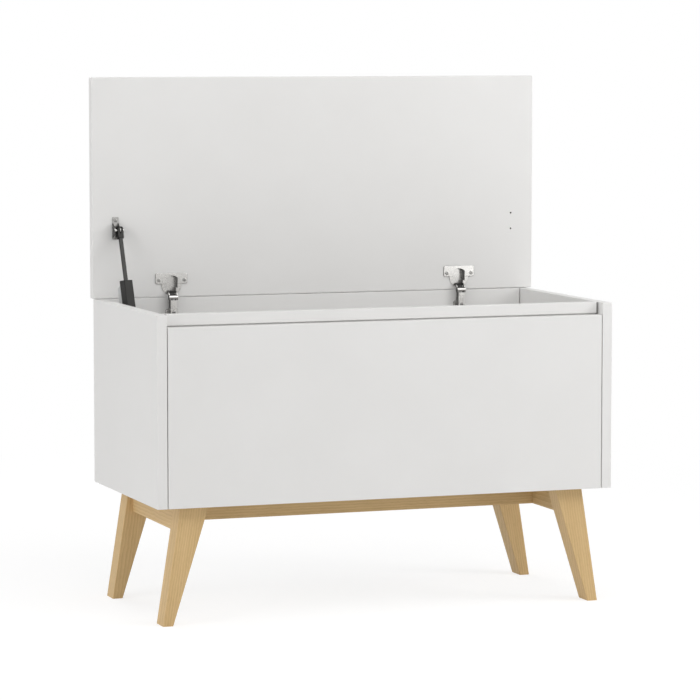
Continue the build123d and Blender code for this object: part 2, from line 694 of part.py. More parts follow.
def stay_damper():
    """Closed damper case on the left side panel."""
    half = Vector(0, (DAMPER_H - DAMPER_W) / 2)
    case = plate_x(DAMPER_X, bar(CRANK_PIVOT - half, CRANK_PIVOT + half, DAMPER_W))
    case = fillet(case.edges().group_by(Axis.X)[-1], DAMPER_EDGE)
    bore_x = (DAMPER_X[1] - SPINDLE_DEPTH - RUN, DAMPER_X[1])
    case -= pin_x(bore_x, CRANK_PIVOT, SPINDLE_R + RUN)
    return cut(case, damper_screws(FIT))


def stay_lid_pin(room=0.0):
    """Pin through the bracket's ears and the fork, with a head past the fork."""
    head_x = FORK_X[1] + CRANK_COLLAR_ROOM
    pin = pin_x((BRACKET_X[0], head_x), STAY_PIN, STAY_PIN_R + room)
    return pin + pin_x((head_x, head_x + STAY_PIN_HEAD_T), STAY_PIN, STAY_PIN_HEAD_R)


def bracket_screws(room=0.0):
    """Two screws through the bracket into the lid."""
    x = BRACKET_INSET - X_SIDE
    places = [on_lid(x, s, -BRACKET_T) for s in BRACKET_SCREW_S]
    return [screw(place, (0, 1, 0), BRACKET_SCREW, room, sunk=False) for place in places]


def stay_bracket():
    """Pressed bracket on the lid, with two ears round the stay's pin."""
    length = BRACKET_S[1] - BRACKET_S[0]
    middle = (BRACKET_S[0] + BRACKET_S[1]) / 2
    base = RectangleRounded(BRACKET_W, length, BRACKET_T)
    bracket = Pos(BRACKET_INSET - X_SIDE, 0, 0) * lid_plate(base, middle, (-BRACKET_T, 0))
    foot = yz_rectangle((lid_open(0, -BRACKET_T).X, lid_open(0, 0).X),
                        (STAY_PIN.Y - BRACKET_EAR_L / 2, STAY_PIN.Y + BRACKET_EAR_L / 2))
    ear = make_hull(disc(STAY_PIN, STAY_EYE_R).edges() + foot.edges())
    for x in (BRACKET_X[0], BRACKET_X[1] - BRACKET_T):
        bracket += plate_x((x, x + BRACKET_T), ear)
    bracket -= stay_lid_pin(FIT)
    return cut(bracket, bracket_screws(FIT))


def spare_bracket_holes():
    """Pilot holes for a second stay, on the right of the lid."""
    x = X_SIDE - BRACKET_INSET
    return [toward(on_lid(x, s), (0, 1, 0)) * Cylinder(BRACKET_SCREW[0], PILOT_DEPTH, align=FROM_BASE)
            for s in BRACKET_SCREW_S]


# Boards, with the holes for what is let into them

def side_panel(sign):
    x = sorted((sign * X_IN, sign * X_SIDE))
    board = panel(x, (Y_FRONT, Y_BACK), (Z_BASE, Z_RIM))
    board = cut(board, panel_dowels(FIT) + cam_bolts(FIT))
    return cut(board, damper_screws(FIT)) if sign < 0 else board


def back_panel():
    board = panel((-X_IN, X_IN), (Y_BACK_IN, Y_BACK), (Z_BASE, Z_RIM))
    for sign in SIDES.values():
        groove_x = sorted((sign * X_IN, sign * (X_IN - BACK_GROOVE[0])))
        board -= slab(groove_x, (Y_BACK_IN, Y_BACK_IN + BACK_GROOVE[1]), (Z_BASE, Z_RIM))
    board = cut(board, panel_dowels(FIT) + cam_bolts(FIT) + cam_locks(FIT))
    for x in HINGES.values():
        board = cut(board, plate_screws(x, FIT))
    return board


def front_panel():
    half = X_IN - FRONT_SIDE_GAP
    board = panel((-half, half), (Y_FRONT, Y_FRONT_IN), (Z_BASE, Z_RIM - FRONT_DROP))
    return cut(board, panel_dowels(FIT) + front_screws(FIT))


def front_rail():
    board = panel((-X_IN, X_IN), (Y_FRONT_IN, Y_FRONT_IN + PANEL_T), (Z_RIM - RAIL_H, Z_RIM))
    return cut(board, panel_dowels(FIT) + cam_bolts(FIT) + cam_locks(FIT) + front_screws(FIT))


def bottom_panel():
    board = panel((-X_IN, X_IN), (Y_FRONT_IN, Y_BACK_IN), (Z_BASE, Z_BASE + PANEL_T))
    board = cut(board, panel_dowels(FIT) + cam_bolts(FIT) + cam_locks(FIT))
    return cut(board, leg_dowels(FIT) + frame_screws(FIT))


def lid_panel():
    low, high = lid_open(0, 0), lid_open(LID_D, LID_T)
    board = panel((-LID_W / 2, LID_W / 2), (low.X, high.X), (low.Y, high.Y), LID_EDGE)
    hole = lid_plate(Circle(CUP_R + CUP_HOLE_ROOM), CUP_S, (0, CUP_HOLE_DEPTH))
    for x in HINGES.values():
        board -= Pos(x, 0, 0) * hole
        board = cut(board, cup_screws(x, FIT))
    return cut(board, bracket_screws(FIT) + spare_bracket_holes())


def side_stretcher(sign):
    x = sorted((sign * (STRETCHER_MID - STRETCHER_T / 2), sign * (STRETCHER_MID + STRETCHER_T / 2)))
    board = panel(x, (LEG_Y["front"][1], LEG_Y["rear"][0]), STRETCHER_Z)
    return cut(board, stretcher_dowels(FIT) + frame_screws(FIT))


def long_stretcher():
    half = STRETCHER_MID - STRETCHER_T / 2
    board = panel((-half, half), (-STRETCHER_T / 2, STRETCHER_T / 2), STRETCHER_Z)
    return cut(board, stretcher_dowels(FIT) + frame_screws(FIT))


# The whole bench, one entry for each node

parts = {
    "back_panel": back_panel(),
    "front_panel": front_panel(),
    "front_rail": front_rail(),
    "bottom_panel": bottom_panel(),
    "lid_panel": lid_panel(),
    "long_stretcher": long_stretcher(),
    "panel_dowels": Compound(children=panel_dowels()),
    "cam_locks": Compound(children=cam_locks()),
    "cam_bolts": Compound(children=cam_bolts()),
    "front_panel_screws": Compound(children=front_screws()),
    "leg_dowels": Compound(children=leg_dowels()),
    "stretcher_dowels": Compound(children=stretcher_dowels()),
    "frame_screws": Compound(children=frame_screws()),
    "stay_damper": stay_damper(),
    "stay_damper_screws": Compound(children=damper_screws()),
    "stay_spindle": stay_spindle(),
    "stay_crank": stay_crank(),
    "stay_crank_pin": stay_crank_pin(),
    "stay_arm_plate": stay_plate(),
    "stay_arm_cover": stay_cover(),
    "stay_rod": stay_rod(),
    "stay_rod_end": stay_rod_end(),
    "stay_lid_bracket": stay_bracket(),
    "stay_lid_pin": stay_lid_pin(),
    "stay_bracket_screws": Compound(children=bracket_screws()),
}
for side, sign in SIDES.items():
    parts[f"{side}_side_panel"] = side_panel(sign)
    parts[f"{side}_side_stretcher"] = side_stretcher(sign)
    for end, leg_y in LEG_Y.items():
        board = leg(sign, leg_y)
        parts[f"{end}_{side}_leg"] = cut(board, leg_dowels(FIT) + stretcher_dowels(FIT))
for side, x in HINGES.items():
    place = Pos(x, 0, 0)
    parts[f"hinge_{side}_cup"] = place * hinge_cup()
    parts[f"hinge_{side}_outer_link"] = place * outer_link()
    parts[f"hinge_{side}_inner_link"] = place * inner_link()
    parts[f"hinge_{side}_arm"] = place * hinge_arm()
    parts[f"hinge_{side}_mounting_plate"] = place * hinge_plate()
    parts[f"hinge_{side}_arm_pins"] = Compound(children=[place * pin for pin in arm_pins()])
    parts[f"hinge_{side}_cup_pins"] = Compound(children=[place * outer_cup_pins(), place * inner_cup_pin()])
    parts[f"hinge_{side}_screws"] = Compound(children=arm_screws(x) + plate_screws(x))
    parts[f"hinge_{side}_cup_screws"] = Compound(children=cup_screws(x))

os.makedirs("parts", exist_ok=True)
for name, shape in parts.items():
    export_step(shape, f"parts/{name}.step")
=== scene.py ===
import json
import math

import bmesh
import bpy
from mathutils import Matrix, Vector


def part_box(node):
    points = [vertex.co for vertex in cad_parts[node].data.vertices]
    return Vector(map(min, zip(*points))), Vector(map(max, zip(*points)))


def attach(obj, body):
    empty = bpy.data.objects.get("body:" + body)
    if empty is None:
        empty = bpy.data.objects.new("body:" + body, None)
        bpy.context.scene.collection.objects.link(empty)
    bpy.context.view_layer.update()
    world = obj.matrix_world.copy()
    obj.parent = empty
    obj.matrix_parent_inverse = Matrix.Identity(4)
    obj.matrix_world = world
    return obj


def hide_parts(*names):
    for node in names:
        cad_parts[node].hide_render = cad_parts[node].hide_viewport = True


# Looks of a white storage bench on splayed oak legs. Metres, in the row's frame: the front faces -Y.

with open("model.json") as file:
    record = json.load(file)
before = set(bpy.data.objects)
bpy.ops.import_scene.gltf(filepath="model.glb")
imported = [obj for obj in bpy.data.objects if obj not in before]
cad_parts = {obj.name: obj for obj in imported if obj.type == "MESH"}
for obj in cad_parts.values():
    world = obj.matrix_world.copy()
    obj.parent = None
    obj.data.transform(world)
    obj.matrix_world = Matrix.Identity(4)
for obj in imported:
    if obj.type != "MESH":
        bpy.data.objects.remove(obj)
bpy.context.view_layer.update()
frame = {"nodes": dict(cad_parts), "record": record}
MM = 0.001

# View
CAMERA_PLACE = (-2.0544, -5.6421, 0.9995)
CAMERA_YAW = 19.991             # degrees to the right of +Y
CAMERA_PITCH = -5.2595          # degrees above the horizon
LENS_MM = 173.925
SENSOR_MM = 36.0

# Light
SKY_LEVEL = 0.38                # the room's own light on the object
SHOWN_LEVEL = 1.0               # what the view and reflections see
LAMPS = {                       # place, size, and power in watts
    "key": ((2.4, -1.6, 1.6), 1.2, 26.5),
    "fill": ((-4.0, -1.2, 1.5), 3.0, 58.0),
    "top": ((0.2, -1.6, 2.8), 2.5, 29.0),
    "low": ((2.6, -3.8, 0.45), 1.2, 10.0),
    "rear": ((-0.6, 4.2, 3.0), 3.0, 70.0),
}
AIM = (0.0, 0.0, 0.45)

# Floor
FLOOR_SIZE = 40.0
FLOOR_SQUARES = 8
FLOOR_TONE = 0.35               # of the floor in the view
FLOOR_BOUNCE = 0.80             # of the floor as a reflector of light
FLOOR_LIFT = 0.72               # added white in the view, so that the lit floor meets the background
FLOOR_FADE = (0.7, 2.2)         # from the middle of the bench: floor that takes shadow, plain white

# Ranges
NOISE = (0.3, 0.7)              # most values of a noise lie in it
WHOLE = (0.0, 1.0)
FALLING = (1.0, 0.0)

# Lacquer
LACQUER_DARK = (0.788, 0.781, 0.768)
LACQUER_LIGHT = (0.812, 0.806, 0.794)
LACQUER_ROUGHNESS = (0.40, 0.47)
LACQUER_SPECULAR = 0.25
CLOUD_SHARE = 0.8               # of clouds and of specks in the tone
SPECK_SHARE = 0.2
SPECK_HEIGHT = 0.25             # as a share of the orange peel's

# Oak
LEG_TILT = math.atan2(0.0319, 0.205)            # a leg's outer edge leans out 31.9 mm over 205 mm
RING_PITCH = 0.0042
RING_SCALE = math.tau / 20 / RING_PITCH         # at scale 1 a wave texture has 20 / tau rings to a metre
PITH = (0.055, 0.055, 0.0)      # shift of the first board in the tree
BOARD_STEP = (0.37, -0.23, 0.61)                # further shift of each board after it
OAK_TONES = (                   # place in the grain, colour
    (0.20, (0.490, 0.318, 0.134)),
    (0.52, (0.620, 0.425, 0.200)),
    (0.80, (0.715, 0.510, 0.258)),
)
OAK_ROUGHNESS = (0.46, 0.60)
OAK_SPECULAR = 0.35
SWAY_SIZE = (0.03, 0.03, 0.25)
FIBRE_SIZE = (0.0011, 0.0011, 0.07)
PORE_SIZE = (0.0006, 0.0006, 0.010)
OPEN_PORE = (0.60, 0.72)        # range of a noise in which a pore opens
RING_SHARE = 0.30               # of rings, fibres, sway and pores in the grain
FIBRE_SHARE = 0.55
SWAY_SHARE = 0.35
PORE_SHARE = 0.22

# Beech
BEECH_DARK = (0.50, 0.32, 0.165)
BEECH_LIGHT = (0.60, 0.41, 0.23)
BEECH_ROUGHNESS = (0.55, 0.70)
FLECK_SIZE = (0.0016, 0.0016, 0.0016)

# Plated metal
SIDE_SHADE_FACING = (0.45, 0.9)      # how far a face looks to the front: full painted shade on edges and bent sides, none on open faces
SPANGLE = (0.0004, 0.0004, 0.0004)              # size of the grains on zinc
DRAWN = (0.004, 0.0003, 0.0003)                 # length and width of the drawing lines on nickel
BRIGHT = (0.24, 0.32)           # roughness of bright and of plain nickel
PLAIN = (0.26, 0.36)
METALS = {                      # dark tone, light tone, roughness, size of lines, share of the tone left on edges and bent sides as painted shade
    "zinc_steel": ((0.60, 0.61, 0.62), (0.66, 0.67, 0.68), (0.30, 0.42), SPANGLE, 1.0),
    "nickel": ((0.64, 0.63, 0.61), (0.68, 0.67, 0.65), BRIGHT, DRAWN, 0.15),
    # The arm's copy of the nickel is made brighter as painted light, for light that the arms and plates lack
    # inside the chest; the bracket's and the screws' copies are made darker as painted shade.
    "nickel_arm": ((0.86, 0.85, 0.83), (0.90, 0.89, 0.87), BRIGHT, DRAWN, 0.15),
    "nickel_bracket": ((0.36, 0.355, 0.345), (0.44, 0.435, 0.42), PLAIN, DRAWN, 0.2),
    "nickel_screw": ((0.36, 0.355, 0.345), (0.42, 0.415, 0.40), PLAIN, DRAWN, 0.2),
}

# Coated steel, and painted shade on the hinges' inner links
COAT_SHADE_DARK = (0.058, 0.057, 0.055)
COAT_SHADE_LIGHT = (0.068, 0.067, 0.065)
# painted shade: share of the tone left on edges and bent sides
COAT_SIDE_SHADE = 0.2
COAT_ROUGHNESS = (0.36, 0.50)
COAT_SPECULAR = 0.2

# Plastic
PLASTIC_DARK = (0.040, 0.039, 0.037)
PLASTIC_LIGHT = (0.048, 0.047, 0.045)
# painted shade: share of the tone left on edges and bent sides
PLASTIC_SIDE_SHADE = 0.15
PLASTIC_ROUGHNESS = (0.42, 0.58)
PLASTIC_SPECULAR = 0.15

# Lid
BORE_SHADE = 0.03                # painted shade: share of the lacquer's colour that is left in an open bore
BORE_RIM = (1.02, 1.15)         # of its radius: where the painted shade starts to fade and where it ends
BORE_END = 0.001                # board that is left behind a bore, at least

# Front rail
RAIL_END_GAP = 0.0045           # shadow gap along each side panel
RAIL_LOW_GAP = 0.0025           # shadow gap above the front panel
RAIL_GAP_DEPTH = 0.0045         # short of the dowels
RAIL_GAP_SHADE = 0.45            # painted shade: share of the lacquer's colour in the end gaps
RAIL_GAP_EDGE = 0.0003          # width over which the painted shade fades

# Screws: height of the head, and radius of the shank as a share of the head's
CUP_SCREW = (0.0011, 0.47)
ARM_SCREW = (0.0014, 0.55)
BRACKET_SCREW = (0.0014, 0.47)
DAMPER_SCREW = (0.002, 0.51)
FRAME_SCREW = (0.003, 0.5)
PANEL_SCREW = (0.0026, 0.5)

# Screw heads, in shares of the head's radius and height
PAN_TOP = 0.72                  # radius of the flat top
PAN_RINGS = ((0.90, 0.22), (1.0, 0.55), (1.0, 1.0))
FLAT_TOP = 0.94
FLAT_RINGS = ((1.0, 0.12), (1.0, 0.2))
RECESS_MOUTH = (0.13, 0.56)     # half width and reach of the cross
RECESS_FLOOR = (0.09, 0.34)
RECESS_DEPTH = 0.75

# Screw shanks, in shares of the shank's radius
THREAD_PITCH = 1.05
THREAD_CORE = 0.72
POINT_LENGTH = 2.2
POINT_END = 0.12

# Screw sets
SCREW_SIDES = 24
THREAD_STEPS = 4                # rings to one turn of thread
FIRST_SPIN = 0.5                # radians that the first cross of a set is turned
NEXT_SPIN = 0.9                 # radians that each one after it is turned further
SHARP_ANGLE = math.radians(32)
NOWHERE = (math.inf, -math.inf)
ANYWHERE = (-math.inf, math.inf)
WELD = 1e-6                     # corners of a CAD mesh that are nearer than this are one


class Finish:
    """A material in the making: short calls that add nodes and join them."""

    def __init__(self, name):
        self.material = bpy.data.materials.new(name)
        self.material.use_nodes = True
        self.nodes = self.material.node_tree.nodes
        self.links = self.material.node_tree.links
        self.shader = self.nodes["Principled BSDF"]

    def fill(self, node, inputs):
        """Sets inputs of a node to values, or joins them to other nodes' outputs."""
        for name, value in inputs.items():
            if isinstance(value, bpy.types.NodeSocket):
                self.links.new(value, node.inputs[name])
            else:
                node.inputs[name].default_value = value
        return node

    def add(self, kind, inputs, **settings):
        """New node with its settings and inputs."""
        node = self.nodes.new("ShaderNode" + kind)
        for name, value in settings.items():
            setattr(node, name, value)
        return self.fill(node, inputs)

    def place(self):
        """Place in the object, in metres."""
        return self.nodes.new("ShaderNodeTexCoord").outputs["Object"]

    def along(self, vector):
        """The three parts of a vector."""
        return self.add("SeparateXYZ", {"Vector": vector}).outputs

    def moved(self, place, turn, shift):
        """Place after a turn and a shift."""
        return self.add("Mapping", {"Vector": place, "Rotation": turn, "Location": shift}).outputs["Vector"]

    def stretched(self, place, sizes):
        """Place counted in units of a size along each axis."""
        scale = tuple(1 / size for size in sizes)
        return self.add("Mapping", {"Vector": place, "Scale": scale}).outputs["Vector"]

    def noise(self, place, detail, roughness=0.5, scale=1.0):
        """Cloudy texture."""
        inputs = {"Vector": place, "Scale": scale, "Detail": detail, "Roughness": roughness}
        return self.add("TexNoise", inputs).outputs["Fac"]

    def span(self, value, source, target):
        """Value carried from one range to another, and held at its ends."""
        inputs = {"Value": value, "From Min": source[0], "From Max": source[1],
                  "To Min": target[0], "To Max": target[1]}
        return self.add("MapRange", inputs).outputs["Result"]

    def total(self, first, second, operation="ADD"):
        """Sum of two values, or what another operation makes of them."""
        return self.add("Math", {0: first, 1: second}, operation=operation).outputs["Value"]

    def times(self, first, second):
        """Product of two values."""
        return self.total(first, second, "MULTIPLY")

    def tones(self, value, *stops):
        """Colour ramp through (position, colour) stops."""
        node = self.add("ValToRGB", {"Fac": value})
        marks = node.color_ramp.elements
        while len(marks) < len(stops):
            marks.new(0.5)
        for mark, (position, colour) in zip(marks, stops):
            mark.position = position
            mark.color = (*colour, 1.0)
        return node.outputs["Color"]

    def clouded(self, noise, dark, light):
        """Colour between two tones, as a noise goes."""
        return self.tones(noise, (NOISE[0], dark), (NOISE[1], light))

    def front(self):
        """1 on faces that look to the front or the back of the object, 0 on its edges and bent sides."""
        normal = self.nodes.new("ShaderNodeTexCoord").outputs["Normal"]
        return self.total(self.along(normal)["Y"], 0.0, "ABSOLUTE")

    def dimmed(self, colour, share):
        """Colour taken down to a share."""
        return self.add("VectorMath", {"Vector": colour, "Scale": share}, operation="SCALE").outputs["Vector"]

    def side_shaded(self, colour, side_shade):
        """Painted shade: colour taken down to a share on edges and bent sides only."""
        return self.dimmed(colour, self.span(self.front(), SIDE_SHADE_FACING, (side_shade, 1.0)))

    def bump(self, height, depth, strength):
        """Normal that follows a height."""
        inputs = {"Height": height, "Distance": depth, "Strength": strength}
        return self.add("Bump", inputs).outputs["Normal"]

    def done(self, **inputs):
        """Sets the surface and returns the material."""
        names = {"colour": "Base Color", "roughness": "Roughness", "normal": "Normal", "metal": "Metallic",
                 "specular": "Specular IOR Level"}
        self.fill(self.shader, {names[key]: value for key, value in inputs.items()})
        return self.material


# Lacquer on the panels

def white_lacquer(name, share=None):
    """Sprayed satin lacquer on fibreboard: fine orange peel, and slight clouds of tone and sheen.

    A share of the colour that follows the place paints shade into hollows: nearly black into the lid's spare
    holes, darker into the rail's end gaps."""
    finish = Finish(name)
    place = finish.place()
    cloud = finish.noise(place, detail=3.0, scale=7.0)
    peel = finish.noise(place, detail=2.0, scale=620.0)
    speck = finish.noise(place, detail=1.0, scale=2600.0)
    clouds = finish.span(cloud, NOISE, (0.0, CLOUD_SHARE))
    specks = finish.span(speck, NOISE, (0.0, SPECK_SHARE))
    colour = finish.tones(finish.total(clouds, specks), (0.0, LACQUER_DARK), (1.0, LACQUER_LIGHT))
    if share:
        colour = finish.dimmed(colour, share(finish, place))
    relief = finish.total(peel, finish.times(speck, SPECK_HEIGHT))
    return finish.done(
        colour=colour,
        roughness=finish.span(cloud, NOISE, LACQUER_ROUGHNESS),
        normal=finish.bump(relief, depth=0.00006, strength=0.35),
        specular=LACQUER_SPECULAR,
    )


def lid_lacquer():
    """The lid's lacquer, with painted shade in the spare holes of the stay: the colour there is taken down
    nearly to black.
    """
    mounts = {mount["name"]: mount for mount in frame["record"]["mounts"]}
    holes = mounts["spare_stay_holes"]
    x, _, middle = holes["pos_m"]
    half = holes["dims"]["spacing_y_mm"] * MM / 2
    rim = [holes["dims"]["hole_r_mm"] * MM * part for part in BORE_RIM]
    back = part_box("lid_panel")[1].y

    # Painted shade: nearly black inside the spare holes, fading out just past their rims, and not on the
    # lid's back face.
    def share(finish, place):
        without_depth = {0: place, 1: (1.0, 0.0, 1.0)}
        flat = finish.add("VectorMath", without_depth, operation="MULTIPLY").outputs["Vector"]
        reaches = []
        for z in (middle - half, middle + half):
            to_centre = {0: flat, 1: (x, 0.0, z)}
            reaches.append(finish.add("VectorMath", to_centre, operation="DISTANCE").outputs["Value"])
        bore_shade = finish.span(finish.total(*reaches, "MINIMUM"), rim, FALLING)
        y = finish.along(place)["Y"]
        before_back = finish.span(y, (back - 2 * BORE_END, back - BORE_END), FALLING)
        return finish.span(finish.times(bore_shade, before_back), WHOLE, (1.0, BORE_SHADE))
    return white_lacquer("white_lacquer_lid", share)


def rail_lacquer():
    """The front rail's lacquer, with painted shade in the gaps at its ends: the colour there is taken down to
    a share.
    """
    low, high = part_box("front_rail")
    start = high.x - RAIL_END_GAP
    inside = low.y + RAIL_GAP_DEPTH

    # Painted shade: the lacquer is darkened in the gaps at the rail's ends.
    def share(finish, place):
        x, y, z = finish.along(place)
        outward = finish.total(x, 0.0, "ABSOLUTE")
        at_end = finish.span(outward, (start - RAIL_GAP_EDGE, start), WHOLE)
        in_front = finish.span(y, (inside + RAIL_GAP_EDGE, inside + 2 * RAIL_GAP_EDGE), FALLING)
        below_top = finish.span(z, (high.z - 2 * RAIL_GAP_EDGE, high.z - RAIL_GAP_EDGE), FALLING)
        gap_shade = finish.times(finish.times(at_end, in_front), below_top)
        return finish.span(gap_shade, WHOLE, (1.0, RAIL_GAP_SHADE))
    return white_lacquer("white_lacquer_rail", share)


# Wood

def oak(name, turn, shift):
    """Solid oak with its grain along an axis that the turn brings to Z: rings, fibres and open pores."""
    finish = Finish(name)
    place = finish.moved(finish.place(), turn, shift)
    sway = finish.noise(finish.stretched(place, SWAY_SIZE), detail=2.0)
    waves = {"Vector": place, "Scale": RING_SCALE, "Distortion": 2.4, "Detail": 2.0, "Detail Scale": 0.6}
    shape = {"wave_type": "RINGS", "rings_direction": "Z", "wave_profile": "SAW"}
    rings = finish.add("TexWave", waves, **shape).outputs["Fac"]
    fibres = finish.noise(finish.stretched(place, FIBRE_SIZE), detail=4.0, roughness=0.6)
    pores = finish.span(finish.noise(finish.stretched(place, PORE_SIZE), detail=1.0), OPEN_PORE, WHOLE)
    grain = finish.total(finish.times(rings, RING_SHARE), finish.times(fibres, FIBRE_SHARE))
    grain = finish.total(grain, finish.times(sway, SWAY_SHARE))
    grain = finish.total(grain, finish.times(pores, PORE_SHARE), "SUBTRACT")
    relief = finish.total(fibres, pores, "SUBTRACT")
    return finish.done(
        colour=finish.tones(grain, *OAK_TONES),
        roughness=finish.span(fibres, NOISE, OAK_ROUGHNESS),
        normal=finish.bump(relief, depth=0.00008, strength=0.5),
        specular=OAK_SPECULAR,
    )


def board_oaks():
    """One oak for each board, its grain along the board's length and cut from its own place in the tree."""
    turns = {}
    for side, lean in (("left", -LEG_TILT), ("right", LEG_TILT)):
        for end in ("front", "rear"):
            turns[f"{end}_{side}_leg"] = (0.0, lean, 0.0)
    for side in ("left", "right"):
        turns[f"{side}_side_stretcher"] = (math.pi / 2, 0.0, 0.0)
    turns["long_stretcher"] = (0.0, math.pi / 2, 0.0)
    oaks = {}
    for count, (name, turn) in enumerate(turns.items()):
        shift = tuple(start + step * count for start, step in zip(PITH, BOARD_STEP))
        oaks[name] = oak(f"light_oak_{name}", turn, shift)
    return oaks


def beech():
    """Plain turned dowels, grain flecked and unpolished."""
    finish = Finish("beech")
    fleck = finish.noise(finish.stretched(finish.place(), FLECK_SIZE), detail=3.0)
    return finish.done(
        colour=finish.clouded(fleck, BEECH_DARK, BEECH_LIGHT),
        roughness=finish.span(fleck, NOISE, BEECH_ROUGHNESS),
        normal=finish.bump(fleck, depth=0.00005, strength=0.5),
    )


# Metal and plastic

def plated(name, dark, light, roughness, lay, side_shade):
    """Plated steel: fine drawing lines along one axis, and clouds of dull and bright plating.

    Edges and bent sides, which turn away from the front, get painted shade: they are taken down to a share of
    the tone."""
    finish = Finish(name)
    place = finish.place()
    lines = finish.noise(finish.stretched(place, lay), detail=3.0)
    cloud = finish.noise(place, detail=3.0, scale=160.0)
    mean = finish.times(finish.total(lines, cloud), 0.5)
    return finish.done(
        colour=finish.side_shaded(finish.clouded(cloud, dark, light), side_shade),
        roughness=finish.span(mean, NOISE, roughness),
        normal=finish.bump(lines, depth=0.00001, strength=0.5),
        metal=1.0,
    )


def coated_steel_and_link_shade():
    """Dark grey coat on the steel of the stay: fine leather-like skin. On the inner links of the hinges the
    same dark tone is painted shade, for the shade inside the cup; faces that turn sideways get painted shade
    too.
    """
    finish = Finish("grey_steel")
    place = finish.place()
    skin = finish.noise(place, detail=3.0, scale=1500.0)
    cloud = finish.noise(place, detail=2.0, scale=60.0)
    return finish.done(
        colour=finish.side_shaded(finish.clouded(cloud, COAT_SHADE_DARK, COAT_SHADE_LIGHT), COAT_SIDE_SHADE),
        roughness=finish.span(skin, NOISE, COAT_ROUGHNESS),
        normal=finish.bump(skin, depth=0.00003, strength=0.5),
        specular=COAT_SPECULAR,
    )


def dark_plastic():
    """Moulded plastic with an even spark-eroded texture; faces that turn sideways get painted shade."""
    finish = Finish("dark_plastic")
    place = finish.place()
    spark = finish.noise(place, detail=2.0, scale=2200.0)
    cloud = finish.noise(place, detail=2.0, scale=45.0)
    return finish.done(
        colour=finish.side_shaded(finish.clouded(cloud, PLASTIC_DARK, PLASTIC_LIGHT), PLASTIC_SIDE_SHADE),
        roughness=finish.span(spark, NOISE, PLASTIC_ROUGHNESS),
        normal=finish.bump(spark, depth=0.00004, strength=0.6),
        specular=PLASTIC_SPECULAR,
    )


# Finishes on the CAD nodes

def shared_finishes():
    """Finishes of the material slots, and lit and shaded copies of the nickel for the pieces that differ from
    their slot: painted light on the arms and plates, painted shade on the bracket and the screws.
    """
    finishes = {name: plated(name, *look) for name, look in METALS.items()}
    finishes["white_lacquer"] = white_lacquer("white_lacquer")
    finishes["beech"] = beech()
    finishes["grey_steel"] = coated_steel_and_link_shade()
    finishes["dark_plastic"] = dark_plastic()
    return finishes


def dress_nodes(finishes):
    """Gives every CAD node its own finish, or else that of its slot."""
    own = board_oaks()
    own["lid_panel"] = lid_lacquer()
    # Lit and shaded copies of the nickel: painted shade on the bracket, painted light on the arms and plates.
    own["stay_lid_bracket"] = finishes["nickel_bracket"]
    for side in ("left", "right"):
        for piece in ("arm", "mounting_plate"):
            own[f"hinge_{side}_{piece}"] = finishes["nickel_arm"]
    for part in frame["record"]["subparts"]:
        name = part["node"]
        slots = frame["nodes"][name].data.materials
        slots.clear()
        slots.append(own[name] if name in own else finishes[part["material_slot"]])


# Pieces in the place of CAD nodes

def node_mesh(node):
    """Copy of a CAD node's mesh, with its corners joined."""
    mesh = bmesh.new()
    mesh.from_mesh(frame["nodes"][node].data)
    bmesh.ops.remove_doubles(mesh, verts=mesh.verts, dist=WELD)
    return mesh


def new_object(name, mesh):
    """Object made of a bmesh, which is used up."""
    data = bpy.data.meshes.new(name)
    mesh.to_mesh(data)
    mesh.free()
    piece = bpy.data.objects.new(name, data)
    bpy.context.scene.collection.objects.link(piece)
    return piece


def stand_in(piece, node, body, finish):
    """Puts a piece in the place of a CAD node."""
    piece.data.materials.clear()
    piece.data.materials.append(finish)
    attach(piece, body)
    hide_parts(node)


# Screws with a cross recess and a thread

def islands(node):
    """Lowest and highest corner of each separate solid of a CAD node."""
    mesh = node_mesh(node)
    left = set(mesh.verts)
    boxes = []
    while left:
        reached = [left.pop()]
        for vertex in reached:
            for edge in vertex.link_edges:
                other = edge.other_vert(vertex)
                if other in left:
                    left.remove(other)
                    reached.append(other)
        places = [vertex.co.copy() for vertex in reached]
        low = Vector([min(place[axis] for place in places) for axis in range(3)])
        high = Vector([max(place[axis] for place in places) for axis in range(3)])
        boxes.append((low, high))
    mesh.free()
    return sorted(boxes, key=lambda box: tuple(box[0]))


def ring(mesh, spot, radius, depth):
    """Loop of vertices round a screw's axis, at a depth from its head's top.

    The radius may be a function of the angle."""
    loop = []
    for step in range(SCREW_SIDES):
        angle = math.tau * step / SCREW_SIDES
        reach = radius(angle) if callable(radius) else radius
        loop.append(mesh.verts.new(spot @ Vector((reach * math.cos(angle), reach * math.sin(angle), depth))))
    return loop


def bridge(mesh, first, second):
    """Band of faces between two loops."""
    count = len(first)
    for step in range(count):
        after = (step + 1) % count
        mesh.faces.new((first[step], first[after], second[after], second[step]))


def cross_loop(mesh, spot, head_r, shares, depth):
    """The twelve corners of a cross recess."""
    half, reach = (head_r * share for share in shares)
    corners = []
    for quarter in range(4):
        turn = Matrix.Rotation(quarter * math.pi / 2, 3, "Z")
        for x, y in ((reach, -half), (reach, half), (half, half)):
            corners.append(mesh.verts.new(spot @ (turn @ Vector((x, y, 0.0)) + Vector((0.0, 0.0, depth)))))
    return corners


def loop_edges(mesh, loop):
    """Edges round a loop of vertices."""
    return [mesh.edges.get((a, b)) or mesh.edges.new((a, b)) for a, b in zip(loop, loop[1:] + loop[:1])]


def thread_radius(core, crest, turns):
    """Radius round the axis at one depth of a thread, given in turns."""
    def at(angle):
        phase = (turns - angle / math.tau) % 1.0
        return core + (crest - core) * (1.0 - abs(2.0 * phase - 1.0))
    return at


